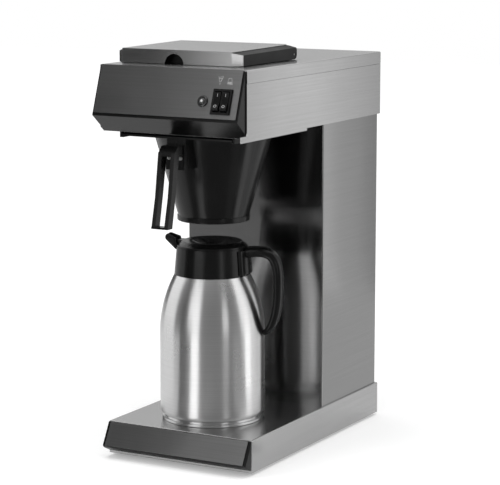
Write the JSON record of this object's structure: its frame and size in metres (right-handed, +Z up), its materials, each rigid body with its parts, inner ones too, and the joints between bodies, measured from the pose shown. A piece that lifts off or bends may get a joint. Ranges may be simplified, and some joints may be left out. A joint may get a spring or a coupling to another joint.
{
  "type": "coffee brewer with thermal jug",
  "caption": "Upright pour-over coffee brewer: a steel column and head over a base, with a slide-in filter basket, a hinged water lid, rocker switches and a thermal pouring jug.",
  "frame": {"origin": "middle of the outline seen from above, on the floor plane under the feet", "axes": "+X to the right seen from the front, +Y to the back, +Z up"},
  "size_m": [0.205, 0.4022, 0.5124],
  "materials": {
    "satin_steel": "satin brushed",
    "polished_steel": "polished front, satin sides",
    "sheet_steel": "plain sheet",
    "jug_steel": "brushed around",
    "screw_steel": "bright",
    "lamp_chrome": "polished",
    "lamp_glass": "clear gloss",
    "panel_grey": "satin",
    "black_gloss": "gloss",
    "black_matte": "matte",
    "foot_rubber": "matte",
    "hose_silicone": "translucent",
    "white_plastic": "matte",
    "heater_aluminium": "cast",
    "element_steel": "dull"
  },
  "bodies": {
    "housing": {"base_pan": "satin_steel", "head_shell": "satin_steel", "head_top_cover": "satin_steel", "column_shell": "polished_steel", "base_bottom_plate": "sheet_steel", "column_back_cover": "sheet_steel", "head_floor": "sheet_steel", "heater_bracket": "sheet_steel", "back_cover_screws": "screw_steel", "hose_clamps": "screw_steel", "lid_hinge_pin": "screw_steel", "rocker_pin": "screw_steel", "lamp_ring": "lamp_chrome", "lamp_lens": "lamp_glass", "control_panel": "panel_grey", "base_trim_face": "panel_grey", "fascia_nose": "black_gloss", "base_front_trim": "black_gloss", "switch_bezel": "black_matte", "fill_collar": "black_matte", "lid_hinge_brackets": "black_matte", "filter_rails": "black_matte", "inlet_gland": "black_matte", "feet": "foot_rubber", "cold_hoses": "hose_silicone", "hot_hose": "hose_silicone", "water_tank": "white_plastic", "check_valve": "white_plastic", "thermostat": "white_plastic", "flow_heater": "heater_aluminium", "spray_head": "heater_aluminium", "heater_element": "element_steel"},
    "fill_lid": {"fill_lid": "satin_steel", "fill_lid_frame": "black_matte"},
    "rocker_power": {"rocker_power": "black_gloss"},
    "rocker_warm": {"rocker_warm": "black_gloss"},
    "basket": {"filter_basket": "black_gloss", "basket_handle": "black_gloss", "basket_handle_screws": "screw_steel"},
    "jug": {"jug_base_ring": "jug_steel", "jug_outer_shell": "jug_steel", "jug_inner_liner": "jug_steel", "jug_collar": "black_gloss", "collar_gasket": "foot_rubber", "jug_handle": "black_gloss"},
    "jug_lid": {"jug_lid": "black_gloss", "lid_gasket": "foot_rubber", "brew_tube": "black_matte"}
  },
  "joints": [
    {"name": "fill_lid_hinge", "type": "hinge", "parent": "housing", "child": "fill_lid", "pos_m": [0, 0.0047, 0.4998], "axis": [-1, 0, 0], "range_deg": [0, 92]},
    {"name": "rocker_power_hinge", "type": "hinge", "parent": "housing", "child": "rocker_power", "pos_m": [0.071, -0.18228, 0.45499], "axis": [1, 0, 0], "range_deg": [0, 16]},
    {"name": "rocker_warm_hinge", "type": "hinge", "parent": "housing", "child": "rocker_warm", "pos_m": [0.082, -0.18228, 0.45499], "axis": [1, 0, 0], "range_deg": [0, 16]},
    {"name": "basket_slide", "type": "slide", "parent": "housing", "child": "basket", "axis": [0, -1, 0], "range_m": [0, 0.2]},
    {"name": "jug_slide", "type": "slide", "parent": "housing", "child": "jug", "axis": [0, -1, 0], "range_m": [0, 0.25]},
    {"name": "jug_lid_twist", "type": "hinge", "parent": "jug", "child": "jug_lid", "pos_m": [0, -0.0756, 0.25], "axis": [0, 0, 1], "range_deg": [0, 90]}
  ]
}
